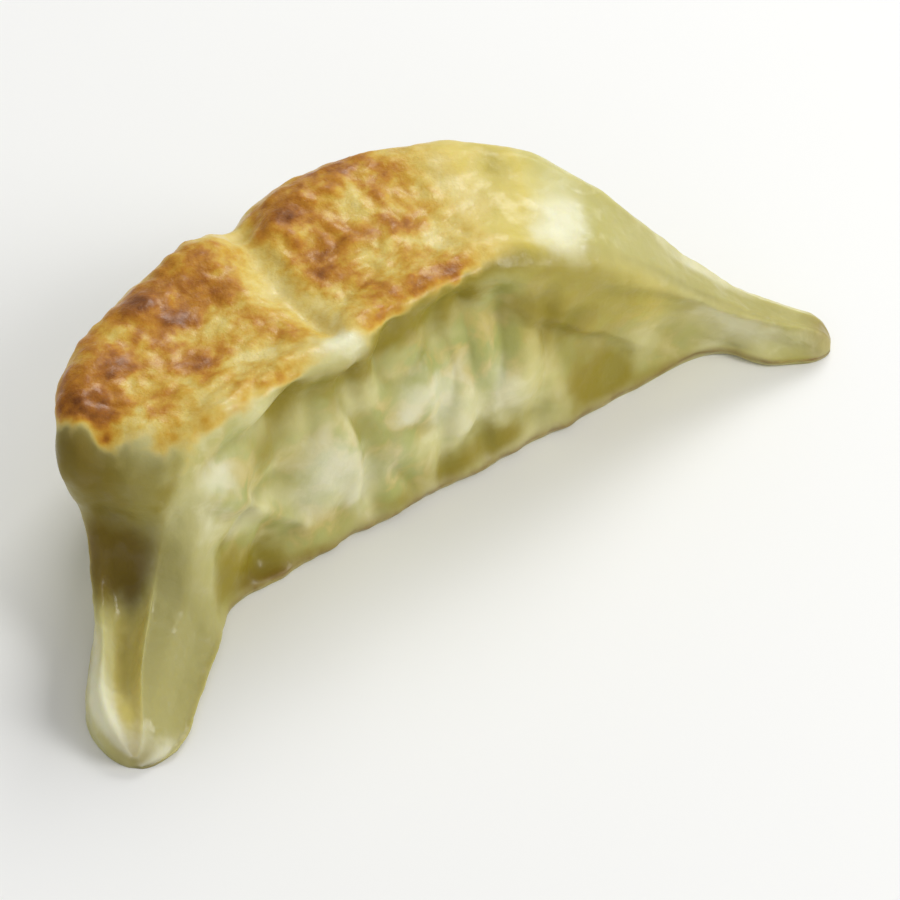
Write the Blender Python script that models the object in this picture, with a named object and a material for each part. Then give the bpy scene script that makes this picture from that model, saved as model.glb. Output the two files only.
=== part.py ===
"""One pan-fried gyoza, lying browned face up, as it is served.

The wrapper is one closed skin, lofted from cross-sections that stand square to a crescent-shaped spine.
X runs from the left ear to the right ear, Y from the hollow side of the crescent to its belly, and the
dumpling rests on z = 0. All sizes below are in millimetres and become metres when the mesh is made.
"""

import math

import bmesh
import bpy
import numpy as np

MM = 0.001

# Driving sizes.
LEFT_TIP, RIGHT_TIP = -40.2, 41.0  # where the ears end, along X
HALF_SPAN = 41.0  # half the width of the spine's parabola
SPINE_SAG = 19.0  # and its depth
HEIGHT = 22.5  # plate to browned face
LEFT_ROUNDING = 3.8  # length of the rounded end of the left ear, a flat tongue
RIGHT_ROUNDING = 1.7  # and of the right ear, a standing flap
RIM = 0.7  # height of the pinched rim's outer edge
STATIONS = 104  # cross-sections from ear to ear
STEPS = 2  # samples from one control point of a section to the next

# Profiles along the spine: (x, value). TOP is a share of HEIGHT. The others are offsets square to the
# spine, negative towards the hollow side, and SUNK is how far the face lies below its lips.
TOP = [(-41, 0.15), (-36, 0.2), (-31, 0.22), (-28.5, 0.28), (-26, 0.58), (-23.5, 0.89), (-20, 0.99),
       (0, 1), (14, 0.99), (22, 0.87), (27, 0.69), (31, 0.49), (36, 0.27), (41, 0.12)]
NEAR_EDGE = [(-41, -3.1), (-37, -1.6), (-33, -0.6), (-28, 0), (-23, -2.4), (-16, -6.2), (-6, -8.6),
             (4, -7.7), (18, -6.9), (28, -4.6), (36, -2.6), (41, -1.2)]
FAR_EDGE = [(-41, 1.2), (-37, 2.6), (-33, 3.6), (-28, 6), (-22, 9.6), (-16, 11.4), (-6, 10.8),
            (4, 10.6), (12, 9.2), (18, 7), (24, 3.1), (30, 0.7), (36, -0.1), (41, 0.6)]
NEAR_HOLLOW = [(-41, -3.2), (-36, -2.4), (-32, -2), (-28, -2), (-23, -2.9), (-16, -4.9), (-6, -7.7),
               (4, -7), (11, -6.2), (18, -6.9), (26, -4.9), (34, -2.4), (41, -1.4)]
NEAR_WALL = [(-41, -4.6), (-35, -3.8), (-28, -3.6), (-23, -3.6), (-16, -6.4), (-6, -9.6), (4, -9.6),
             (14, -8.4), (22, -5.4), (30, -2.4), (34, -1.4), (41, -2)]
NEAR_FOOT = [(-41, -5.2), (-36, -5.4), (-29, -5.4), (-23.5, -4.6), (-17, -7.4), (-9, -9.5), (-1, -10.7),
             (6, -10.8), (18, -8.8), (26, -5.4), (33.5, -1.3), (37, -3), (41, -2.4)]
FAR_WALL = [(-41, 2), (-37, 3.6), (-33, 4.6), (-28, 5.6), (-25, 7.3), (-22, 10.2), (-12, 15), (0, 15.4),
            (12, 13.2), (20, 9.4), (28, 4.6), (36, 2.2), (41, 1.4)]
FAR_FOOT = [(-41, 2), (-37, 3.6), (-30, 5.4), (-25, 6.2), (-16, 9.2), (0, 10.6), (12, 9.4), (22, 6),
            (30, 3), (37, 1.8), (41, 1)]
SUNK = [(-41, 0), (-38.5, 0.4), (-35, 1.5), (-31, 1.9), (-27, 1.7), (-22, 0.9), (0, 0.8), (16, 0.5),
        (26, 0.2), (41, 0.1)]

# Where the near lip is sharp (0) and where it rolls softly into a shoulder over the wall (1).
SOFT_LIP = [(-41, 0), (7, 0), (12, 0.4), (18, 1), (30, 1), (41, 0)]

# How far the left end of the body hangs out over the ear, and how that grows with height.
OVERHANG = [(-41, 0), (-31, 0), (-26, -4.4), (-21, -4.6), (-10, -1.6), (0, 0), (20, 1), (30, 0.6),
            (41, 0)]
OVERHANG_RISE = [(0, 0), (8, 0.02), (12, 0.2), (15.5, 0.75), (18.5, 1), (23, 0.95)]

# The filling under the near wall, as (x, z, radius, height), and the folds between, as (x, lean, depth).
LUMPS = [(-21, 14, 3.5, 0.6), (-11, 11, 4.5, 1.1), (-3, 8, 3.5, 0.6), (2, 12, 4, 0.8), (7, 8, 3.5, 0.5),
         (13, 8, 4, 1.1), (-18, 3.5, 4, -1.2), (13, 14, 3.5, -0.8), (20, 5, 3, 0.6)]
FOLDS = [(-16.6, 0.2, 0.7), (-6.5, -0.1, 0.7), (4.5, 0.1, 0.5), (9, -0.05, 0.6), (17, 0.1, 0.6)]
BELLY_FOLDS = [(-17, 0.3, 0.5), (-5, -0.2, 0.45), (8, 0.2, 0.5), (19, -0.2, 0.4)]
# The ridge that runs down from the left ear: x, z, slope, width, height.
PLEAT = (-20, 10.3, -1.05, 1.3, 0.8)
FACE_CREASE = (-5.8, 0.28, 1.4, 0.9)  # the fold across the browned face: x, slant, width, depth
FACE_DIMPLE = (14.5, 5, 1.6, 3.6, 0.6)  # the dent at its right end: x, offset, two half-widths, depth
# The fold that runs out from under that shoulder to the rim: its line as (x, place), and its height.
SHOULDER_LINE = [(6, 5.7), (12, 4.7), (18, 4), (24, 3.1), (30, 2)]
SHOULDER = 0.9
# Notches in the far lip, the first where that fold runs out over the belly: (x, width, depth).
LIP_NOTCHES = [(-2.5, 2.2, 1.3), (27, 1.5, 1)]
# Lobes and notches of the near lip, where the face sags over the wall: (x, width, height).
LIP_LOBES = [(-20, 2.5, 0.3), (-14, 1.6, -0.7), (-8, 4, 0.8), (-1.5, 1.8, -0.7), (5, 4.5, 0.5),
             (11, 2, -0.3)]


def profile(knots, x):
    """A smooth curve through the knots that never overshoots them."""
    knot, value = np.array(knots, float).T
    step = np.diff(knot)
    rise = np.diff(value) / step
    slope = np.concatenate([rise[:1], (rise[:-1] + rise[1:]) / 2, rise[-1:]])
    product = np.where(rise[:-1] * rise[1:] > 0, rise[:-1] * rise[1:], 0)
    slope[1:-1] = 2 * product / np.where(product > 0, rise[:-1] + rise[1:], 1)
    i = np.clip(np.searchsorted(knot, x) - 1, 0, len(step) - 1)
    t = (x - knot[i]) / step[i]
    ease = t * t * (3 - 2 * t)
    bend = step[i] * t * (1 - t) * ((1 - t) * slope[i] - t * slope[i + 1])
    return value[i] * (1 - ease) + value[i + 1] * ease + bend


def sections(x):
    """Control points (offset, height) of each section: up the near wall, over the face, down again."""
    top = HEIGHT * profile(TOP, x)
    near_edge, far_edge = profile(NEAR_EDGE, x), profile(FAR_EDGE, x)
    near_foot, far_foot = profile(NEAR_FOOT, x), profile(FAR_FOOT, x)
    near_wall, far_wall = profile(NEAR_WALL, x), profile(FAR_WALL, x)
    hollow, sunk = profile(NEAR_HOLLOW, x), profile(SUNK, x)
    face = far_edge - near_edge
    width = far_foot - near_foot
    rim = np.minimum(RIM, 0.18 * top)
    soft = profile(SOFT_LIP, x)
    zero = 0 * x
    points = [
        (near_foot + 0.06 * width, zero),
        (near_foot, rim),
        (0.8 * near_foot + 0.2 * near_wall + 0.5 * rim, 0.5 * rim + 0.12 * top),
        (near_wall, 0.36 * top),
        (0.55 * near_wall + 0.45 * hollow, 0.58 * top),
        (hollow, (0.8 - 0.08 * soft) * top),
        (near_edge, (0.95 - 0.07 * soft) * top),
        (near_edge + 0.1 * face, (1 - 0.03 * soft) * top),
        (near_edge + 0.3 * face, top - 0.8 * sunk),
        (near_edge + 0.5 * face, top - sunk),
        (near_edge + 0.7 * face, top - 0.8 * sunk),
        (near_edge + 0.9 * face, top),
        (far_edge + 0.05 * face, 0.94 * top),
        (far_edge + 0.75 * (far_wall - far_edge), 0.74 * top),
        (far_wall, 0.46 * top),
        (far_wall - 0.3 * (far_wall - far_foot), 0.18 * top),
        (far_foot, zero),
        (far_foot - 0.2 * width, zero),
        (far_foot - 0.5 * width, zero),
        (far_foot - 0.8 * width, zero),
    ]
    return np.array(points).transpose(2, 0, 1)


def smooth_loop(points, steps):
    """A closed curve through the points of each section, with steps samples from each point to the next."""
    before, after = np.roll(points, 1, axis=1), np.roll(points, -1, axis=1)
    beyond = np.roll(points, -2, axis=1)
    samples = []
    for step in range(steps):
        t = step / steps
        square = 2 * before - 5 * points + 4 * after - beyond
        cube = 3 * points - before - 3 * after + beyond
        samples.append(points + 0.5 * ((after - before) * t + square * t**2 + cube * t**3))
    return np.stack(samples, axis=2).reshape(len(points), -1, 2)


def bump(value):
    """1 at zero, falling smoothly to nothing by about 2."""
    return np.exp(-value * value)


def ramp(value, low, high):
    """0 below low, 1 above high, smooth between."""
    t = np.clip((value - low) / (high - low), 0, 1)
    return t * t * (3 - 2 * t)


def relief(x, offset, height, place):
    """How far each sample stands out from the plain skin; place runs 0 to 20 around a section."""
    near = ramp(place, 0.6, 2) * (1 - ramp(place, 5, 6.2))
    belly = ramp(place, 11.5, 13) * (1 - ramp(place, 14.5, 16))
    face = ramp(place, 6.6, 7.6) * (1 - ramp(place, 11, 12))
    out = 0 * height
    for middle, level, radius, amount in LUMPS:
        out += near * amount * bump(np.hypot(x - middle, height - level) / radius)
    for middle, lean, depth in FOLDS:
        out -= near * depth * bump((x - middle - lean * (height - 10)) / 1.3)
    for middle, lean, depth in BELLY_FOLDS:
        out -= belly * depth * bump((x - middle - lean * (height - 10)) / 2)
    middle, level, slope, width, amount = PLEAT
    reach = ramp(x, middle - 5.5, middle - 3) * (1 - ramp(x, middle + 4, middle + 8))
    out += near * reach * amount * bump((height - level - slope * (x - middle)) / width)
    middle, slant, width, depth = FACE_CREASE
    out -= face * depth * bump((x - middle - slant * offset) / width)
    middle, across, half_x, half_offset, depth = FACE_DIMPLE
    out -= face * depth * bump(np.hypot((x - middle) / half_x, (offset - across) / half_offset))
    for middle, width, depth in LIP_NOTCHES:
        out -= ramp(place, 10.2, 11.5) * (1 - ramp(place, 12.5, 14)) * depth * bump((x - middle) / width)
    for middle, width, amount in LIP_LOBES:
        out += amount * bump((x - middle) / width) * bump((place - 5.7) / 0.8)
    above = ramp(place - profile(SHOULDER_LINE, x), -0.35, 0.3) * (1 - ramp(place, 5.6, 6.8))
    out += SHOULDER * above * ramp(x, 6, 13) * (1 - ramp(x, 24, 31))
    return out


def skin():
    """The wrapper's outside as a grid of points: one closed section for each station."""
    turn = np.linspace(-1, 1, STATIONS)
    spread = 0.5 + 0.225 * turn + 0.275 * np.sin(turn * math.pi / 2)  # closer together at the ears
    x = (LEFT_TIP + (RIGHT_TIP - LEFT_TIP) * spread)[:, None]
    loops = smooth_loop(sections(x[:, 0]), STEPS)
    offset, height = loops[..., 0], np.maximum(loops[..., 1], 0)
    place = np.arange(offset.shape[1])[None, :] / STEPS

    # Lumps and folds push the sample along the section's outward normal.
    along = np.roll(loops, -1, axis=1) - np.roll(loops, 1, axis=1)
    along /= np.linalg.norm(along, axis=2, keepdims=True)
    amount = relief(x, offset, height, place)
    offset = offset - amount * along[..., 1]
    height = np.maximum(height + amount * along[..., 0], 0)

    # The ears end round.
    rounding = np.where(x < 0, LEFT_ROUNDING, RIGHT_ROUNDING)
    end = np.clip(1 - np.where(x < 0, x - LEFT_TIP, RIGHT_TIP - x) / rounding, 0, 1)
    shrink = np.sqrt(1 - 0.97 * end**2)
    middle = (offset.min(axis=1, keepdims=True) + offset.max(axis=1, keepdims=True)) / 2
    offset = middle + (offset - middle) * shrink
    height = height * (0.3 + 0.7 * shrink)

    # Lay each section across the spine.
    slope = -2 * SPINE_SAG * x / HALF_SPAN**2
    length = np.sqrt(1 + slope**2)
    spine_y = SPINE_SAG * (1 - (x / HALF_SPAN) ** 2)
    lean = profile(OVERHANG, x) * profile(OVERHANG_RISE, height) * ramp(offset, -5, 3)
    point_x = x + (lean - offset * slope) / length
    point_y = spine_y + (lean * slope + offset) / length
    return np.stack([point_x, point_y, height], axis=-1)


def make_dumpling():
    grid = skin() * MM
    low, high = grid.min(axis=(0, 1)), grid.max(axis=(0, 1))
    grid -= np.array([(low[0] + high[0]) / 2, (low[1] + high[1]) / 2, 0])

    bm = bmesh.new()
    rings = [[bm.verts.new(point) for point in ring] for ring in grid]
    count = len(rings[0])
    for ring, following in zip(rings, rings[1:]):
        for k in range(count):
            j = (k + 1) % count
            bm.faces.new((ring[k], ring[j], following[j], following[k]))
    for ring in (rings[0], rings[-1]):
        bm.faces.new(ring)
    bmesh.ops.recalc_face_normals(bm, faces=bm.faces)
    bmesh.ops.triangulate(bm, faces=[face for face in bm.faces if len(face.verts) > 4])

    mesh = bpy.data.meshes.new("gyoza")
    bm.to_mesh(mesh)
    bm.free()
    dumpling = bpy.data.objects.new("gyoza", mesh)
    bpy.context.scene.collection.objects.link(dumpling)
    mesh.shade_smooth()

    dough = bpy.data.materials.new("fried dough")
    dough.use_nodes = True
    surface = dough.node_tree.nodes["Principled BSDF"]
    surface.inputs["Base Color"].default_value = (0.62, 0.5, 0.24, 1)
    surface.inputs["Roughness"].default_value = 0.4
    surface.inputs["Metallic"].default_value = 0
    mesh.materials.append(dough)
    return dumpling


for old in list(bpy.data.objects):
    bpy.data.objects.remove(old)
make_dumpling()
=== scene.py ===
# %% [markdown]
# # One pan-fried gyoza
#
# A gyoza is a round of thin dough folded over minced cabbage and pork and pinched shut along its edge.
# It is fried on its flat side, then turned over on the plate, so the browned face looks up, the pinched
# edge lies along the bottom of one wall, and the two ends of that edge stick out as ears.
# The packed solid already has the right size and outline, but it is plain. This lesson lays a finer
# skin over it, folds and blisters that skin, and gives it the colours of moist dough and hot fat.

# %% Load the packed solid
import math

import bpy
import numpy as np
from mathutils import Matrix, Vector, noise


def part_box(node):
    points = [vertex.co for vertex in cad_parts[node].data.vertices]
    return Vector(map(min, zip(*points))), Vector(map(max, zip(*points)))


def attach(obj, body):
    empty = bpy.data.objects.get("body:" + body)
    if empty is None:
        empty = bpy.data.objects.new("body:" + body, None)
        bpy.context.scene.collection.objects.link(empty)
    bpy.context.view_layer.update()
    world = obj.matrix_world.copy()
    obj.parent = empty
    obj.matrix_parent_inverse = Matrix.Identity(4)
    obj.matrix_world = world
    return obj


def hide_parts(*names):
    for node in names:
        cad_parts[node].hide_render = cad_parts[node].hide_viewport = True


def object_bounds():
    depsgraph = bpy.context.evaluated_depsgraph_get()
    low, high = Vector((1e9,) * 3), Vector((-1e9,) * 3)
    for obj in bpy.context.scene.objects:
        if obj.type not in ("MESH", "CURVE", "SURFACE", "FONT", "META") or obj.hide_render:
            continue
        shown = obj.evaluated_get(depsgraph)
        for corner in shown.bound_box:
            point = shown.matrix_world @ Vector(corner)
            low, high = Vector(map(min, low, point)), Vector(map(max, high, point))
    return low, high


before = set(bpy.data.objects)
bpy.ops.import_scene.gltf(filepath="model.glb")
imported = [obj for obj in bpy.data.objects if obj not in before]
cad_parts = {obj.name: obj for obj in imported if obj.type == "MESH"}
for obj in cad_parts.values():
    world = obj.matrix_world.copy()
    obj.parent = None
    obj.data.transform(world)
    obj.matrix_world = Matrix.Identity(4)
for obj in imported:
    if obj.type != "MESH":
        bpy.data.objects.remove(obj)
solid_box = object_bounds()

MM = 0.001

# %% [markdown]
# ## The shape as a few curves
#
# A wrapper has no circles or straight edges, so a primitive would be a poor start. Sculpting would work,
# but a sculpt can't be read or changed by a number. Instead the dumpling is described the way a boat is:
# by curves along its length that say how tall it is, where its two walls stand and where they meet the
# plate. Each curve is a short list of (x along the spine, value) that a smooth line runs through.

# %% Sizes and curves, in millimetres
LEFT_TIP, RIGHT_TIP = -40.2, 41.0  # where the ears end
HALF_SPAN = 41.0  # half the width of the spine's parabola
SPINE_SAG = 19.0  # and its depth
HEIGHT = 22.5
LEFT_ROUNDING, RIGHT_ROUNDING = 3.8, 1.7  # the rounded ends of the two ears
RIM = 0.7  # height of the pinched edge

# The height of the fried face, as a share of HEIGHT.
TOP = [(-41, 0.15), (-36, 0.2), (-31, 0.22), (-28.5, 0.28), (-26, 0.58), (-23.5, 0.89), (-20, 0.99),
       (0, 1), (14, 0.99), (22, 0.87), (27, 0.69), (31, 0.49), (36, 0.27), (41, 0.12)]
# Distances from the spine, near side first: the two edges of the fried face,
NEAR_EDGE = [(-41, -3.1), (-37, -1.6), (-33, -0.6), (-28, 0), (-23, -2.4), (-16, -6.2), (-6, -8.6),
             (4, -7.7), (18, -6.9), (28, -4.6), (36, -2.6), (41, -1.2)]
FAR_EDGE = [(-41, 1.2), (-37, 2.6), (-33, 3.6), (-28, 6), (-22, 9.6), (-16, 11.4), (-6, 10.8),
            (4, 10.6), (12, 9.2), (18, 7), (24, 3.1), (30, 0.7), (36, -0.1), (41, 0.6)]
# the hollow under the near lip, the walls at their widest, and the feet on the plate.
NEAR_HOLLOW = [(-41, -3.2), (-36, -2.4), (-32, -2), (-28, -2), (-23, -2.9), (-16, -4.9), (-6, -7.7),
               (4, -7), (11, -6.2), (18, -6.9), (26, -4.9), (34, -2.4), (41, -1.4)]
NEAR_WALL = [(-41, -4.6), (-35, -3.8), (-28, -3.6), (-23, -3.6), (-16, -6.4), (-6, -9.6), (4, -9.6),
             (14, -8.4), (22, -5.4), (30, -2.4), (34, -1.4), (41, -2)]
NEAR_FOOT = [(-41, -5.2), (-36, -5.4), (-29, -5.4), (-23.5, -4.6), (-17, -7.4), (-9, -9.5), (-1, -10.7),
             (6, -10.8), (18, -8.8), (26, -5.4), (33.5, -1.3), (37, -3), (41, -2.4)]
FAR_WALL = [(-41, 2), (-37, 3.6), (-33, 4.6), (-28, 5.6), (-25, 7.3), (-22, 10.2), (-12, 15), (0, 15.4),
            (12, 13.2), (20, 9.4), (28, 4.6), (36, 2.2), (41, 1.4)]
FAR_FOOT = [(-41, 2), (-37, 3.6), (-30, 5.4), (-25, 6.2), (-16, 9.2), (0, 10.6), (12, 9.4), (22, 6),
            (30, 3), (37, 1.8), (41, 1)]
# How far the face sags between its edges, and where its near edge is soft, from 0 to 1.
SUNK = [(-41, 0), (-38.5, 0.4), (-35, 1.5), (-31, 1.9), (-27, 1.7), (-22, 0.9), (0, 0.8), (16, 0.5),
        (26, 0.2), (41, 0.1)]
SOFT_LIP = [(-41, 0), (7, 0), (12, 0.4), (18, 1), (30, 1), (41, 0)]
# How far the top is pushed along the spine, and what share of that each height gets.
OVERHANG = [(-41, 0), (-31, 0), (-26, -4.4), (-21, -4.6), (-10, -1.6), (0, 0), (20, 1), (30, 0.6),
            (41, 0)]
OVERHANG_RISE = [(0, 0), (8, 0.02), (12, 0.2), (15.5, 0.75), (18.5, 1), (23, 0.95)]
print("from tip to tip along the crescent's width:", RIGHT_TIP - LEFT_TIP, "mm")


# %% A smooth line through a few points
def profile(knots, x):
    """A smooth curve through the knots that never overshoots them."""
    knot, value = np.array(knots, float).T
    step = np.diff(knot)
    rise = np.diff(value) / step
    slope = np.concatenate([rise[:1], (rise[:-1] + rise[1:]) / 2, rise[-1:]])
    product = np.where(rise[:-1] * rise[1:] > 0, rise[:-1] * rise[1:], 0)
    slope[1:-1] = 2 * product / np.where(product > 0, rise[:-1] + rise[1:], 1)
    i = np.clip(np.searchsorted(knot, x) - 1, 0, len(step) - 1)
    t = (x - knot[i]) / step[i]
    ease = t * t * (3 - 2 * t)
    bend = step[i] * t * (1 - t) * ((1 - t) * slope[i] - t * slope[i + 1])
    return value[i] * (1 - ease) + value[i + 1] * ease + bend


print("height at the middle:", round(float(HEIGHT * profile(TOP, np.array([0.0]))[0]), 1), "mm")

# %% [markdown]
# ## Cross-sections
#
# Cutting a dumpling square to its crescent shows one closed outline: the pinched edge on the plate, the
# near wall, the lip, the fried face with its slight sag, the round belly, and the flat underside.
# Twenty control points, always in that order, make every section comparable with its neighbours, so
# "place 9" is the middle of the face in all of them. Those places are used again for the colours.

# %% Control points of the sections
def sections(x):
    """Control points (offset, height) of each section: up the near wall, over the face, down the belly."""
    top = HEIGHT * profile(TOP, x)
    near_edge, far_edge = profile(NEAR_EDGE, x), profile(FAR_EDGE, x)
    near_foot, far_foot = profile(NEAR_FOOT, x), profile(FAR_FOOT, x)
    near_wall, far_wall = profile(NEAR_WALL, x), profile(FAR_WALL, x)
    hollow, sunk = profile(NEAR_HOLLOW, x), profile(SUNK, x)
    face = far_edge - near_edge
    width = far_foot - near_foot
    rim = np.minimum(RIM, 0.18 * top)  # lower at the ears, which are thin
    soft = profile(SOFT_LIP, x)
    zero = 0 * x
    points = [
        (near_foot + 0.06 * width, zero),
        (near_foot, rim),
        (0.8 * near_foot + 0.2 * near_wall + 0.5 * rim, 0.5 * rim + 0.12 * top),
        (near_wall, 0.36 * top),
        (0.55 * near_wall + 0.45 * hollow, 0.58 * top),
        (hollow, (0.8 - 0.08 * soft) * top),
        (near_edge, (0.95 - 0.07 * soft) * top),
        (near_edge + 0.1 * face, (1 - 0.03 * soft) * top),
        (near_edge + 0.3 * face, top - 0.8 * sunk),
        (near_edge + 0.5 * face, top - sunk),
        (near_edge + 0.7 * face, top - 0.8 * sunk),
        (near_edge + 0.9 * face, top),
        (far_edge + 0.05 * face, 0.94 * top),
        (far_edge + 0.75 * (far_wall - far_edge), 0.74 * top),
        (far_wall, 0.46 * top),
        (far_wall - 0.3 * (far_wall - far_foot), 0.18 * top),
        (far_foot, zero),
        (far_foot - 0.2 * width, zero),
        (far_foot - 0.5 * width, zero),
        (far_foot - 0.8 * width, zero),
    ]
    return np.array(points).transpose(2, 0, 1)


print("control points in a section:", sections(np.array([0.0])).shape[1])


# %% A closed curve through the control points
def around(points, place):
    """The closed smooth curve through each section's control points, read at the given places."""
    count = points.shape[1]
    first = np.floor(place).astype(int)
    t = (place - first)[None, :, None]
    before, here, after, beyond = (points[:, (first + shift) % count] for shift in (-1, 0, 1, 2))
    square = 2 * before - 5 * here + 4 * after - beyond
    cube = 3 * here - before - 3 * after + beyond
    return here + 0.5 * ((after - before) * t + square * t**2 + cube * t**3)


# More samples where something shows: walls and face are fine, the underside is coarse.
SAMPLES = [3, 6, 12, 15, 15, 14, 9, 12, 12, 12, 12, 10, 14, 14, 14, 10, 3, 4, 4, 3]
place = np.concatenate([k + np.arange(n) / n for k, n in enumerate(SAMPLES)])
print("samples round a section:", len(place))

# %% [markdown]
# ## Lumps, folds and the bent spine
#
# The filling pushes the dough out in lumps, and between them the dough folds in. Both are soft hills and
# valleys, so a bell curve with a place, a width and a height describes each one. The near lip sags over
# the wall in lobes, and further right it melts into a smooth shoulder. The sections are then laid across
# a parabola, which is the crescent, and the left end is pushed out over its ear.

# %% Lumps and folds, in millimetres
# Lumps are (x, height, radius, how far out) and folds are (x, lean, depth).
LUMPS = [(-21, 14, 3.5, 0.6), (-11, 11, 4.5, 1.1), (-3, 8, 3.5, 0.6), (2, 12, 4, 0.8), (7, 8, 3.5, 0.5),
         (13, 8, 4, 1.1), (-18, 3.5, 4, -1.2), (13, 14, 3.5, -0.8), (20, 5, 3, 0.6)]
FOLDS = [(-16.6, 0.2, 0.7), (-6.5, -0.1, 0.7), (4.5, 0.1, 0.5), (9, -0.05, 0.6), (17, 0.1, 0.6)]
BELLY_FOLDS = [(-17, 0.3, 0.5), (-5, -0.2, 0.45), (8, 0.2, 0.5), (19, -0.2, 0.4)]
FOLD_WIDTH, BELLY_FOLD_WIDTH = 1.3, 2
FOLD_LEVEL = 10  # the height at which a leaning fold is at its x
PLEAT = (-20, 10.3, -1.05, 1.3, 0.8)  # (x, height, slope, width, how far out)
FACE_CREASE = (-5.8, 0.28, 1.4, 0.9)  # (x, slant, width, depth)
FACE_DIMPLE = (14.5, 5, 1.6, 3.6, 0.6)  # (x, offset, half-width in x, half-width across, depth)
SHOULDER_LINE = [(6, 5.7), (12, 4.7), (18, 4), (24, 3.1), (30, 2)]  # (x, place where it starts)
SHOULDER = 0.9  # how far it stands out
# Notches in the far lip and lobes of the near one are (x, width, amount).
LIP_NOTCHES = [(-2.5, 2.2, 1.3), (27, 1.5, 1)]
LIP_LOBES = [(-20, 2.5, 0.3), (-14, 1.6, -0.7), (-8, 4, 0.8), (-1.5, 1.8, -0.7), (5, 4.5, 0.5),
             (11, 2, -0.3)]
print("lumps:", len(LUMPS), "folds:", len(FOLDS) + len(BELLY_FOLDS), "lobes of the lip:", len(LIP_LOBES))


# %% Relief of the plain skin
def bump(value):
    """1 at zero, falling smoothly to nothing by about 2."""
    return np.exp(-value * value)


def ramp(value, low, high):
    """0 below low, 1 above high, smooth between."""
    t = np.clip((value - low) / (high - low), 0, 1)
    return t * t * (3 - 2 * t)


def crease_distance(x, offset):
    """How far along x each point is from the fold that slants across the face."""
    middle, slant = FACE_CREASE[:2]
    return x - middle - slant * offset


def relief(x, offset, height, place):
    """How far each sample stands out from the plain skin."""
    near = ramp(place, 0.6, 2) * (1 - ramp(place, 5, 6.2))
    belly = ramp(place, 11.5, 13) * (1 - ramp(place, 14.5, 16))
    face = ramp(place, 6.6, 7.6) * (1 - ramp(place, 11, 12))
    far_lip = ramp(place, 10.2, 11.5) * (1 - ramp(place, 12.5, 14))
    out = 0 * height
    for middle, level, radius, amount in LUMPS:
        out += near * amount * bump(np.hypot(x - middle, height - level) / radius)
    for middle, lean, depth in FOLDS:
        out -= near * depth * bump((x - middle - lean * (height - FOLD_LEVEL)) / FOLD_WIDTH)
    for middle, lean, depth in BELLY_FOLDS:
        out -= belly * depth * bump((x - middle - lean * (height - FOLD_LEVEL)) / BELLY_FOLD_WIDTH)
    middle, level, slope, width, amount = PLEAT
    reach = ramp(x, middle - 5.5, middle - 3) * (1 - ramp(x, middle + 4, middle + 8))
    out += near * reach * amount * bump((height - level - slope * (x - middle)) / width)
    width, depth = FACE_CREASE[2:]
    out -= face * depth * bump(crease_distance(x, offset) / width)
    middle, across, half_x, half_offset, depth = FACE_DIMPLE
    out -= face * depth * bump(np.hypot((x - middle) / half_x, (offset - across) / half_offset))
    for middle, width, depth in LIP_NOTCHES:
        out -= far_lip * depth * bump((x - middle) / width)
    for middle, width, amount in LIP_LOBES:
        out += amount * bump((x - middle) / width) * bump((place - 5.7) / 0.8)
    above = ramp(place - profile(SHOULDER_LINE, x), -0.35, 0.3) * (1 - ramp(place, 5.6, 6.8))
    out += SHOULDER * above * ramp(x, 6, 13) * (1 - ramp(x, 24, 31))
    return out


print("a bell curve at half its width:", round(float(bump(0.5)), 2))

# %% The dumpling's skin as a grid
STATIONS = 460  # sections along the spine
turn = np.linspace(-1, 1, STATIONS)
spread = 0.5 + 0.3 * turn + 0.2 * np.sin(turn * math.pi / 2)  # closer together at the ears
x = (LEFT_TIP + (RIGHT_TIP - LEFT_TIP) * spread)[:, None]
loops = around(sections(x[:, 0]), place)
offset, height = loops[..., 0], np.maximum(loops[..., 1], 0)
along = np.roll(loops, -1, axis=1) - np.roll(loops, 1, axis=1)
along /= np.linalg.norm(along, axis=2, keepdims=True)
place = np.broadcast_to(place, offset.shape)
amount = relief(x, offset, height, place)
offset = offset - amount * along[..., 1]
height = np.maximum(height + amount * along[..., 0], 0)

rounding = np.where(x < 0, LEFT_ROUNDING, RIGHT_ROUNDING)
end = np.clip(1 - np.where(x < 0, x - LEFT_TIP, RIGHT_TIP - x) / rounding, 0, 1)
shrink = np.sqrt(1 - 0.97 * end**2)  # an ellipse that stops just short of a point
mid_line = (offset.min(axis=1, keepdims=True) + offset.max(axis=1, keepdims=True)) / 2
laid = mid_line + (offset - mid_line) * shrink
height = height * (0.3 + 0.7 * shrink)  # the tips keep some thickness

slope = -2 * SPINE_SAG * x / HALF_SPAN**2
length = np.sqrt(1 + slope**2)
spine = SPINE_SAG * (1 - (x / HALF_SPAN) ** 2)
lean = profile(OVERHANG, x) * profile(OVERHANG_RISE, height) * ramp(laid, -5, 3)
skin = np.stack([x + (lean - laid * slope) / length, spine + (lean * slope + laid) / length, height],
                axis=-1)

# The packed solid's box says where the grid belongs.
low, high = (np.array(corner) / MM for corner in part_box("gyoza"))
skin[..., :2] += ((low + high) / 2 - (skin.min(axis=(0, 1)) + skin.max(axis=(0, 1))) / 2)[:2]
print("grid:", skin.shape[:2])
print("box in mm:", skin.min(axis=(0, 1)).round(2), skin.max(axis=(0, 1)).round(2))

# %% [markdown]
# ## Where things are on the skin
#
# Every later step asks the same questions of a point: is it on the fried face, on a wall, in the pinched
# edge, down in a fold? Each answer is a mask, a number from 0 to 1 at each point of the grid. Masks are
# kept soft, because dough has no hard borders, and they are made wavy with noise, because frying fat
# doesn't follow a ruler.

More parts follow.
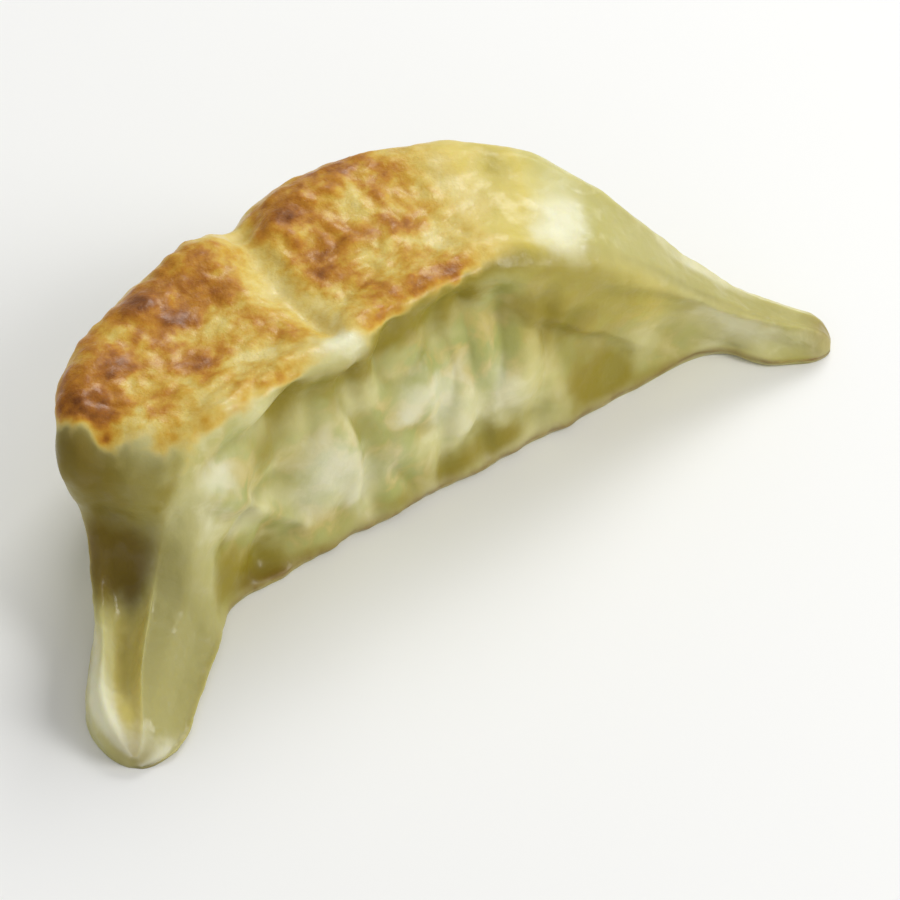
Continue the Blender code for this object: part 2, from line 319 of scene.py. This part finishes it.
# %% Noise and soft spots
def rough(points, size, seed, octaves=3):
    """Noise from about -1 to 1 with lumps of that size in millimetres, one value for each point."""
    shift = Vector((17.3 * seed, 5.1 * seed, 9.7 * seed))
    scaled = points.reshape(-1, 3) / size
    values = [noise.fractal(Vector(point) + shift, 1.0, 2.0, octaves) for point in scaled]
    return np.array(values).reshape(points.shape[:-1])


# Three sizes of noise, and how far they push the soft spots about.
broad, middling, small = rough(skin, 9, 1), rough(skin, 3.5, 2), rough(skin, 1.4, 3)
x_all = np.broadcast_to(x, height.shape)
waver_x = 1.2 * middling + 0.4 * small
waver_place = 0.3 * broad + 0.2 * middling + 0.1 * small
warped_x, warped_place = x_all + waver_x, place + waver_place


def patches(table, wander=1.0):
    """Soft spots, each given as (x, place, half-width in x, half-width in places, strength)."""
    x_here, place_here = x_all + wander * waver_x, place + wander * waver_place
    total = 0 * height
    for middle, level, half_x, half_place, strength in table:
        away = np.hypot((x_here - middle) / half_x, (place_here - level) / half_place)
        total += strength * bump(away)
    return np.clip(total, 0, 1)


print("borders waver by up to", round(float(np.abs(waver_x).max()), 1), "mm along the spine")

# %% Parts of the skin
# The near wall, the belly on the far side, the body without its ears, the fold and the face, and the
# pinched edge with the two tips. The filling lies behind both walls.
near = ramp(place, 0.9, 2.2) * (1 - ramp(place, 5.2, 6.3))
belly = ramp(place, 11.8, 13) * (1 - ramp(place, 15.2, 16))
body = ramp(x_all, -26, -22) * (1 - ramp(x_all, 26, 34))
crease = bump(crease_distance(x_all, offset) / 1.5) * ramp(place, 6, 7) * (1 - ramp(place, 11.5, 12.3))
face = ramp(place, 6, 7) * (1 - ramp(place, 11.8, 12.6))
rim = bump((place - 0.95) / 0.42) * ramp(x_all, -27, -22)
tips = ramp(np.abs(x_all), 38.5, 41)
# The edge is browned at the tips, and the pinched edge on the plate also gets painted contact shade.
edge = np.clip(0.8 * rim + 0.5 * tips, 0, 1)
filling = np.clip((near + belly) * body, 0, 1)
print("share of the skin with filling behind it:", round(float((filling > 0.5).mean()), 2))

# %% Where it was fried
# Bare spots in the browning: the nose of the left lobe, the fold across the face, the left ear's corner.
bare = patches([(-8, 6.6, 3, 0.9, 1), (-11.5, 6.7, 2, 0.5, 0.5), (-5.5, 8.8, 1.3, 1, 0.6),
                (-3.5, 11.3, 1.2, 0.8, 0.7), (-19.5, 6.9, 2.2, 0.8, 0.8), (-21.5, 5.6, 2.5, 0.6, 0.8)])
reach = ramp(warped_place, 5.8, 6.8) * (1 - ramp(warped_place, 11.9, 12.8))
fried = reach * ramp(warped_x, -24, -20.5) * (1 - ramp(warped_x, 7, 18)) * (1 - 0.8 * bare)

# Blisters that touched the pan longest, and pale hollows that barely touched it.
scorch = patches([(-21, 11.2, 2, 0.9, 1), (-20.5, 10.1, 1.8, 0.5, 0.7), (-17.5, 10.4, 1.6, 0.5, 0.7),
                  (-15, 10.7, 1.6, 0.6, 0.4), (-19, 9, 1.6, 0.5, 0.5),
                  (-14, 8.7, 2, 0.5, 0.9), (-12, 11.3, 3.4, 0.7, 0.9), (-11, 10.2, 3.4, 0.7, 0.7),
                  (-7, 10.6, 2.2, 0.6, 0.4), (0, 10.4, 2.5, 0.7, 0.75), (-0.5, 9.1, 2.4, 0.6, 0.8),
                  (3, 11.6, 3, 0.5, 0.5), (7.5, 10.6, 2, 0.6, 0.4), (8, 8.9, 2.2, 0.6, 0.5),
                  (4.5, 6.6, 3.5, 0.5, 0.6), (9, 6.5, 1.5, 0.4, 0.4), (-3, 6.5, 2, 0.5, 0.8),
                  (-15.5, 6.4, 2, 0.4, 0.3)])
pale = patches([(-15, 7.8, 3, 0.7, 0.6), (-5.5, 10, 1.5, 1, 0.4),
                (-2.5, 7, 2.2, 0.6, 0.7), (5, 10.2, 1.6, 0.4, 0.6), (4.5, 8.6, 2.5, 0.8, 0.6),
                (10, 7.6, 2, 0.7, 0.6), (12, 10, 2.5, 2, 0.7)])
print("share of the skin that is fried:", round(float((fried > 0.5).mean()), 2))

# %% Painted shade and shadow, and cream dough with painted highlights
# Olive is painted shade: under the lip, in folds, near the plate.
olive = patches([(-15, 5.5, 2.5, 1, 1), (-17.5, 4.3, 2.2, 0.4, 0.6), (-8, 5.3, 5, 0.8, 0.9),
                 (-1.5, 5.7, 4.4, 0.9, 1), (5, 5.6, 4, 0.9, 1), (9, 5.2, 2.6, 0.8, 0.6),
                 (13, 6.4, 4, 0.6, 0.7), (8, 6.3, 3, 0.4, 0.4), (16, 4.7, 3.6, 0.7, 0.6),
                 (20, 6, 5, 1, 0.55), (20, 4.1, 4, 0.8, 0.6), (25.5, 5, 3, 1.4, 0.4),
                 (24.5, 2.1, 2.8, 0.9, 1), (20.8, 2, 2.6, 1.1, 0.7), (17.5, 3.5, 2.5, 0.6, 0.4),
                 (29, 1.4, 3, 0.5, 0.5), (-19, 1.6, 3, 0.75, 1), (-14, 1.2, 4, 0.4, 0.5),
                 (-3, 1.6, 3, 0.5, 0.6), (5, 1.8, 4, 0.6, 0.8), (12, 1.9, 4, 0.6, 0.85),
                 (-7, 3.8, 2, 0.4, 0.5), (16, 10.3, 1.4, 1.3, 0.45), (-23, 2.2, 2.4, 1, 0.9),
                 (-24.2, 10, 2, 2.6, 0.75), (-24.6, 7, 1.6, 0.8, 0.5)], wander=0.6)

# Tucked is painted shadow in the deepest tucks, above all where the left end hangs over its ear.
tucked = patches([(-27.2, 9.6, 1.3, 3, 1), (-28.6, 8.6, 1.2, 0.9, 0.3), (-29, 11.2, 1.6, 1.1, 0.6),
                  (-23.4, 11, 1.7, 2.2, 0.7), (-25.6, 9.8, 1.6, 3, 0.3), (-20, 1.5, 2.5, 0.5, 0.6),
                  (-1, 12, 1.2, 0.7, 0.8)], wander=0.3)

# Cream is pale dough, and painted highlight on the right roof, the far lips and the column above the left
# ear.
cream = patches([(20.5, 8, 2.2, 1.7, 0.95), (17.5, 7.4, 1.8, 0.6, 0.6), (-23, 4.8, 2, 0.9, 0.85),
                 (-19.5, 6.8, 2, 0.7, 0.65), (35.5, 4, 4, 2, 0.75), (33, 5.4, 2.5, 0.8, 0.35),
                 (-40, 2.4, 2.5, 1.2, 0.8), (-8, 6.6, 3, 0.6, 0.9), (-20, 3.1, 2.5, 0.4, 0.5),
                 (-14.5, 2.6, 2.4, 0.6, 0.5), (-11.5, 3.5, 3, 0.9, 0.9), (-7.5, 2.6, 2.8, 0.8, 0.7),
                 (-3, 2.8, 2.4, 0.5, 0.4), (1, 3.8, 4, 0.5, 0.8), (5.5, 3.1, 3, 0.7, 0.7),
                 (12, 3, 3, 0.7, 0.7), (-38, 11, 4.5, 1.4, 0.9), (-36, 12.5, 5, 1, 0.7),
                 (-40, 7, 2, 4, 0.75), (32, 10.4, 5, 1, 0.7)])
print("share that is olive:", round(float((olive > 0.5).mean()), 2),
      "and cream:", round(float((cream > 0.5).mean()), 2))

# %% Yellow and tan dough, with painted light and painted shade
# Yellow lies between browned and bare dough and on the right shoulder; in the left ear's channel it is
# painted light that lifts the groove's shade.
unfried = ramp(x_all, 5, 11) * (1 - ramp(x_all, 15, 21)) * ramp(place, 6, 7)
unfried = unfried * (1 - ramp(place, 11.5, 12.3))
straw = ramp(x_all, 12, 18) * (1 - ramp(x_all, 27, 33)) * bump((place - 4.9) / 1.6)
channel_painted_light = (1 - ramp(x_all, -31, -27)) * ramp(place, 6.3, 7.3) * (1 - ramp(place, 9.4, 10.6))
golden = patches([(16, 10.3, 1.7, 1.5, 1), (34.5, 4.5, 3, 1.6, 0.35)])
yellow = np.clip(unfried + 0.9 * straw + 0.8 * channel_painted_light + golden, 0, 1)

# Tan darkens the right ear's top and the left ear, which have no filling under them, and is painted shade
# on the end that hangs over the left ear.
right_top = ramp(x_all, 17, 32) * ramp(place, 5.8, 7) * (1 - ramp(place, 10.5, 12))
left_ear = (1 - ramp(x_all, -28, -23)) * (1 - ramp(place, 6.3, 7.3))
left_end_shade = bump((x_all + 24) / 2) * ramp(place, 6.8, 8) * (1 - ramp(place, 13, 15))
tan = np.clip(0.9 * right_top + left_ear + left_end_shade, 0, 1)
print("share that is yellow:", round(float((yellow > 0.5).mean()), 2),
      "and tan:", round(float((tan > 0.5).mean()), 2))

# %% [markdown]
# ## Blisters, pillows and the pinched edge
#
# A bump texture only fakes relief, and the outline would stay as smooth as plastic. So the larger detail
# is real: each grid point moves along its own normal. The face gets the uneven crust of dough that
# bubbled in fat, the walls get pillows of filling with creases between them, and the edge on the plate
# gets the small scallops that fingers leave.
#
# A pillow is the distance of smooth noise from zero: it is round where the noise is far from zero and
# pinched where the noise crosses it, which is just how dough wraps round minced filling.

# %% Which way is out
across = np.gradient(skin, axis=0)
round_it = np.roll(skin, -1, axis=1) - np.roll(skin, 1, axis=1)
normal = np.cross(across, round_it)
normal /= np.linalg.norm(normal, axis=2, keepdims=True) + 1e-9
if ((skin - skin.mean(axis=(0, 1))) * normal).sum() < 0:
    normal = -normal
highest = np.argmax(skin[STATIONS // 2, :, 2])
print("the highest point of the middle section faces", normal[STATIONS // 2, highest].round(2))


# %% Move the skin along its normals
PILLOW = 1.1  # heights in millimetres
CRUST = 0.26
SWELL = 0.4
SCALLOP = 0.35
SCORCH_SINK = 0.15


def pillows(points, size, seed, soft):
    """Rounded lumps with pinched creases between them, about 0 to 1."""
    return np.sqrt(rough(points, size, seed, 1) ** 2 + soft**2) * 1.6


# The noise is stretched up the wall, so that the creases run that way too.
drawn = np.stack([x_all, 0.7 * offset, 0.75 * height], axis=-1)
wall_pillows = pillows(drawn, 6, 4, 0.1)
crust = pillows(skin, 1.9, 5, 0.16)
wall_pillows -= (wall_pillows * filling).sum() / filling.sum()
moved = filling * (PILLOW * wall_pillows + 0.06 * middling + 0.02 * small)
moved += face * body * (SWELL * rough(skin, 5, 8, 1) + 0.12 * middling)
moved += fried * (CRUST * (crust - 0.4) + 0.08 * small - SCORCH_SINK * scorch)
moved += (1 - body) * (0.18 * middling + 0.05 * small)
moved += SCALLOP * rim * rough(np.stack([x_all, 0 * x_all, 0 * x_all], axis=-1), 2.6, 7, 2)
on_plate = 1 - ramp(height, 0, 0.4)  # the underside stays nearly flat
skin = skin + normal * (moved * (1 - 0.8 * on_plate))[..., None]
skin[..., 2] = np.where(height <= 0, 0, np.maximum(skin[..., 2], 0))
print("skin moved by", moved.min().round(2), "to", moved.max().round(2), "mm")

# %% Make the mesh
rings, count = skin.shape[:2]
corner = np.arange(rings * count).reshape(rings, count)
following = np.roll(corner, -1, axis=1)
quads = np.stack([corner[:-1], following[:-1], following[1:], corner[1:]], axis=-1).reshape(-1, 4)
faces = quads.tolist() + [corner[0][::-1].tolist(), corner[-1].tolist()]
mesh = bpy.data.meshes.new("gyoza skin")
mesh.from_pydata((skin.reshape(-1, 3) * MM).tolist(), [], faces)
mesh.validate()
if sum(facet.normal.z * facet.area for facet in mesh.polygons if facet.center.z > 0.02) < 0:
    mesh.flip_normals()
mesh.shade_smooth()
print("faces:", len(mesh.polygons), "points:", len(mesh.vertices))

# %% Give the masks to the mesh
browned = fried * (0.36 + 0.5 * scorch - 0.3 * pale + 0.32 * middling + 0.1 * small) * (1 - 0.6 * crease)
# Where the wall's pillows dip; it carries painted shade in the creases between them.
hollow = filling * ramp(-wall_pillows, 0, 0.35)
MASKS = {"browned": np.clip(browned, 0, 1), "fried": fried, "olive": olive, "tucked": tucked,
         "cream": cream, "tan": tan, "yellow": yellow, "edge": edge, "filling": filling, "hollow": hollow}
for name, values in MASKS.items():
    attribute = mesh.attributes.new(name, "FLOAT", "POINT")
    attribute.data.foreach_set("value", values.reshape(-1).astype(np.float32))
print("masks:", list(MASKS))

# %% Put the skin in the scene
gyoza = bpy.data.objects.new("gyoza_skin", mesh)
bpy.context.scene.collection.objects.link(gyoza)
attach(gyoza, "root")
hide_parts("gyoza")
print("pieces:", gyoza.name)

# %% [markdown]
# ## A small language for materials
#
# A node tree built line by line is hard to read. Here one class wraps a socket, so that sums and products
# of masks are written as sums and products and become Math nodes, and one method adds any other node.

# %% A socket that can be added and multiplied
class Signal:
    """An output socket that can be used in arithmetic."""

    def __init__(self, finish, socket):
        self.finish, self.socket = finish, socket

    def math(self, operation, first, second):
        return self.finish.node("ShaderNodeMath", {"operation": operation}, {0: first, 1: second})

    def __add__(self, other): return self.math("ADD", self, other)
    def __sub__(self, other): return self.math("SUBTRACT", self, other)
    def __rsub__(self, other): return self.math("SUBTRACT", other, self)
    def __mul__(self, other): return self.math("MULTIPLY", self, other)
    __radd__, __rmul__ = __add__, __mul__

    def ramp(self, low, high):
        """0 below low, 1 above high, smooth between."""
        sockets = {"Value": self, "From Min": low, "From Max": high}
        return self.finish.node("ShaderNodeMapRange", {"interpolation_type": "SMOOTHSTEP"}, sockets)


print("sums and products:", [name for name in vars(Signal) if "add" in name or "mul" in name])


# %% A material that adds its own nodes
class Finish:
    """One material and the only way nodes are added to it."""

    def __init__(self, name):
        self.material = bpy.data.materials.new(name)
        self.material.use_nodes = True
        self.tree = self.material.node_tree
        self.tree.nodes.clear()

    def node(self, kind, settings=None, sockets=None, output=0):
        """Add a node: its settings first, then a value or a link for each socket named."""
        made = self.tree.nodes.new(kind)
        for name, value in (settings or {}).items():
            if name == "stops":
                self.set_stops(made.color_ramp, value)
            else:
                setattr(made, name, value)
        for key, value in (sockets or {}).items():
            if isinstance(value, Signal):
                self.tree.links.new(value.socket, made.inputs[key])
            else:
                made.inputs[key].default_value = value
        return Signal(self, made.outputs[output]) if made.outputs else None

    def set_stops(self, scale, stops):
        """Give a colour scale its (place, colour) stops."""
        while len(scale.elements) < len(stops):
            scale.elements.new(0.5)
        for element, (at, tint) in zip(scale.elements, stops):
            element.position, element.color = at, tint

    def mask(self, name):
        """One of the masks that the mesh carries."""
        return self.node("ShaderNodeAttribute", {"attribute_name": name}, output=2)

    def mix(self, factor, first, second):
        """A colour between two colours."""
        return self.node("ShaderNodeMix", {"data_type": "RGBA"}, {0: factor, 6: first, 7: second}, output=2)


def colour(red, green, blue):
    """A colour from 0 to 255 as a painter reads it, in the linear values that a shader needs."""
    shares = (red / 255, green / 255, blue / 255)
    return (*(((share + 0.055) / 1.055) ** 2.4 if share > 0.04 else share / 12.92 for share in shares), 1)


print("a painter's middle grey, 128, is", round(colour(128, 128, 128)[0], 3), "in a shader")

# %% [markdown]
# ## Cooked dough
#
# Boiled wheat dough is cream, and turns grey-green or yellow where it is thin and the cabbage shows
# through. Where it met the pan it is gold, then brown, and darkest on the thickest blisters.
# The masks say roughly where each colour belongs, and noise at several sizes breaks their borders up. Some
# of them are painted light: shade under the lip, in folds and tucks, at the edge on the plate, and
# highlights on the face and lips.

# %% Colours of cooked dough
THIN, THICK, PUFFED = colour(189, 182, 111), colour(209, 203, 144), colour(226, 221, 172)
CABBAGE, MEAT = colour(158, 166, 92), colour(196, 174, 98)  # what shows through the walls
# Tan is partly painted shade, and cream partly painted highlight.
YELLOW, TAN_AND_SHADE, CREAM_AND_HIGHLIGHT = colour(208, 188, 84), colour(164, 156, 94), colour(233, 231, 200)
# The olive, crease and tucked colours are painted shade and painted shadow.
OLIVE_SHADE, CREASE_SHADE, TUCKED_SHADOW = colour(147, 131, 36), colour(146, 138, 52), colour(112, 92, 16)
# Browning, and painted contact shade along the pinched edge.
TOASTED_AND_SHADED_EDGE = colour(112, 82, 32)
BROWNING = [(0.0, colour(222, 204, 132)), (0.18, colour(214, 188, 98)), (0.36, colour(202, 160, 56)),
            (0.55, colour(184, 126, 28)), (0.75, colour(156, 96, 14)), (1.0, colour(116, 64, 8))]
print("steps of browning:", len(BROWNING))

# %% Noise in the dough
dough = Finish("fried dough")
where = dough.node("ShaderNodeTexCoord", output=3)


def grain(size, detail=3, distortion=0.0):
    """Noise with lumps of that size in millimetres, from 0 to 1."""
    sockets = {"Vector": where, "Scale": 1 / (size * MM), "Detail": detail, "Distortion": distortion}
    return dough.node("ShaderNodeTexNoise", {}, sockets)


cloud, patch, speck = grain(8), grain(2.6, distortion=0.5), grain(0.8)
print("nodes so far:", len(dough.tree.nodes))

# %% Plain dough
# It is cloudy, whiter where it is thick and puffed, greener where cabbage lies under it.
plain = dough.mix(cloud.ramp(0.35, 0.65), THIN, THICK)
plain = dough.mix(patch.ramp(0.5, 0.72) * 0.5, plain, PUFFED)
greens = dough.mix(patch.ramp(0.4, 0.6), CABBAGE, MEAT)
plain = dough.mix(dough.mask("filling") * (1 - cloud.ramp(0.4, 0.62)) * 0.6, plain, greens)
# Yellow, with painted light in the left ear's channel.
plain = dough.mix(dough.mask("yellow") * 0.8, plain, YELLOW)
# Tan darkens the ears, and is painted shade on the end that hangs over the left ear.
plain = dough.mix(dough.mask("tan") * 0.85, plain, TAN_AND_SHADE)
# Painted shade under the lip, in folds and near the plate.
plain = dough.mix((dough.mask("olive") + (patch - 0.5) * 0.3).ramp(0.1, 0.9), plain, OLIVE_SHADE)
# Painted shade in the creases between the wall's pillows.
plain = dough.mix(dough.mask("hollow") * 0.45, plain, CREASE_SHADE)
# Pale dough, and painted highlights on the right roof, the far lips and the column above the left ear.
plain = dough.mix((dough.mask("cream") + (patch - 0.5) * 0.4).ramp(0.1, 1.1) * 0.9, plain, CREAM_AND_HIGHLIGHT)
# Painted shadow in the deepest tucks and under the left end's overhang.
plain = dough.mix(dough.mask("tucked").ramp(0, 1), plain, TUCKED_SHADOW)
# Browning, with painted contact shade along the pinched edge on the plate.
plain = dough.mix(dough.mask("edge") * (0.75 + 0.25 * patch.ramp(0.42, 0.6)), plain, TOASTED_AND_SHADED_EDGE)
print("nodes with the plain dough:", len(dough.tree.nodes))

# %% Fried dough
# One scale runs from barely coloured to scorched, and specks break it up.
doneness = dough.mask("browned") + ((patch - 0.5) * 0.6 + (speck - 0.5) * 0.5) * dough.mask("fried")
toasted = dough.node("ShaderNodeValToRGB", {"stops": BROWNING}, {0: doneness})
skin_colour = dough.mix((dough.mask("fried") + (patch - 0.5) * 0.3).ramp(0.12, 0.55), plain, toasted)
print("nodes with the fried dough:", len(dough.tree.nodes))

# %% [markdown]
# ## Oil, light inside the dough, and pores
#
# Oil lies on the dough in a thin patchy film, so the oil's noise lowers the roughness and adds a coat.
# Light also sinks a couple of millimetres into dough, which subsurface scattering gives: without it the
# walls would look like painted clay. The finest pores are too small to model, so a bump node tilts the
# light on them.

# %% The dough's shine and fine surface
PORE_DEPTH = 0.1 * MM
oil = grain(1.8, 2).ramp(0.42, 0.62)
roughness = 0.44 - 0.14 * oil + 0.06 * dough.mask("fried")
pores = grain(0.5) * 0.5 + speck * 0.8 + dough.mask("fried") * grain(0.35, distortion=0.5) * 1.2
fine = dough.node("ShaderNodeBump", {}, {"Height": pores, "Strength": 0.6, "Distance": PORE_DEPTH})
shell = dough.node("ShaderNodeBsdfPrincipled", {}, {
    "Base Color": skin_colour, "Roughness": roughness, "Coat Weight": 0.25 * oil, "Normal": fine,
    "Coat Roughness": 0.2, "IOR": 1.4, "Specular IOR Level": 0.35,
    "Subsurface Weight": 0.4, "Subsurface Scale": 2 * MM, "Subsurface Radius": (1.0, 0.8, 0.3)})
dough.node("ShaderNodeOutputMaterial", {}, {"Surface": shell})
mesh.materials.append(dough.material)
print("nodes in the dough:", len(dough.tree.nodes))

# %% [markdown]
# ## Floor, light and camera
#
# A plain pale floor keeps the eye on the food. Food looks moist when a large light stands behind it,
# because that light skims the surface, so one stands behind, one on the right, and a weak one fills from
# the front. The camera looks down at 45 degrees through a long lens, which keeps the near ear from
# swelling.

# %% Floor
FLOOR = 1.5  # metres from the middle to each side
floor_mesh = bpy.data.meshes.new("floor")
floor_mesh.from_pydata([(-FLOOR, -FLOOR, 0), (FLOOR, -FLOOR, 0), (FLOOR, FLOOR, 0), (-FLOOR, FLOOR, 0)],
                       [], [(0, 1, 2, 3)])
floor = bpy.data.objects.new("floor", floor_mesh)
bpy.context.scene.collection.objects.link(floor)
paper = Finish("pale floor")
shade = paper.node("ShaderNodeBsdfPrincipled", {}, {"Base Color": colour(242, 242, 240), "Roughness": 0.7})
paper.node("ShaderNodeOutputMaterial", {}, {"Surface": shade})
floor_mesh.materials.append(paper.material)
print("floor:", 2 * FLOOR, "m square")

# %% Light
AZIMUTH, ELEVATION = math.radians(-40.2), math.radians(45)
SKY = 0.45  # strength of the light from all round
to_right = Vector((math.cos(AZIMUTH), math.sin(AZIMUTH), 0))
to_back = Vector((-math.sin(AZIMUTH), math.cos(AZIMUTH), 0))
heart = Vector(((solid_box[0] + solid_box[1]) / 2))


def soft_light(name, right, back, up, size, energy):
    """A square light that faces the dumpling, placed in metres from it; its energy is in watts."""
    lamp = bpy.data.lights.new(name, "AREA")
    lamp.size, lamp.energy = size, energy
    holder = bpy.data.objects.new(name, lamp)
    bpy.context.scene.collection.objects.link(holder)
    holder.location = heart + to_right * right + to_back * back + Vector((0, 0, up))
    holder.rotation_mode = "QUATERNION"
    holder.rotation_quaternion = (heart - holder.location).to_track_quat("-Z", "Y")


soft_light("back light", 0.14, 0.42, 0.42, 0.3, 1.7)
soft_light("right light", 0.45, -0.12, 0.33, 0.25, 1.5)
soft_light("front fill", -0.05, -0.5, 0.4, 0.5, 0.3)
world = bpy.data.worlds.new("studio")
world.use_nodes = True
world.node_tree.nodes["Background"].inputs["Color"].default_value = (1, 1, 1, 1)
world.node_tree.nodes["Background"].inputs["Strength"].default_value = SKY
bpy.context.scene.world = world
bpy.context.scene.view_settings.view_transform = "Standard"
print("lights:", [light.name for light in bpy.data.lights])

# %% Camera
MARGIN = 1.17  # how much wider the picture is than the dumpling
LENS = 400  # millimetres, so the two ears keep their sizes
away = to_back * -math.cos(ELEVATION) + Vector((0, 0, math.sin(ELEVATION)))
upward = away.cross(to_right)
seen = skin @ np.array([to_right, upward]).T * MM
reach_low, reach_high = seen.min(axis=(0, 1)), seen.max(axis=(0, 1))
frame_width = float((reach_high - reach_low).max()) * MARGIN
aim_right, aim_up = ((reach_low + reach_high) / 2).tolist()
aim = to_right * aim_right + upward * aim_up

lens = bpy.data.cameras.new("camera")
lens.lens = LENS
lens.clip_start, lens.clip_end = 0.01, 10
camera = bpy.data.objects.new("camera", lens)
bpy.context.scene.collection.objects.link(camera)
camera.location = aim + away * (frame_width * lens.lens / lens.sensor_width)
camera.rotation_mode = "QUATERNION"
camera.rotation_quaternion = (-away).to_track_quat("-Z", "Y")
bpy.context.scene.camera = camera
print("picture spans", round(frame_width / MM, 2), "mm")

# %% Print the packed box
print("packed box:", [round(v, 4) for corner in solid_box for v in corner])
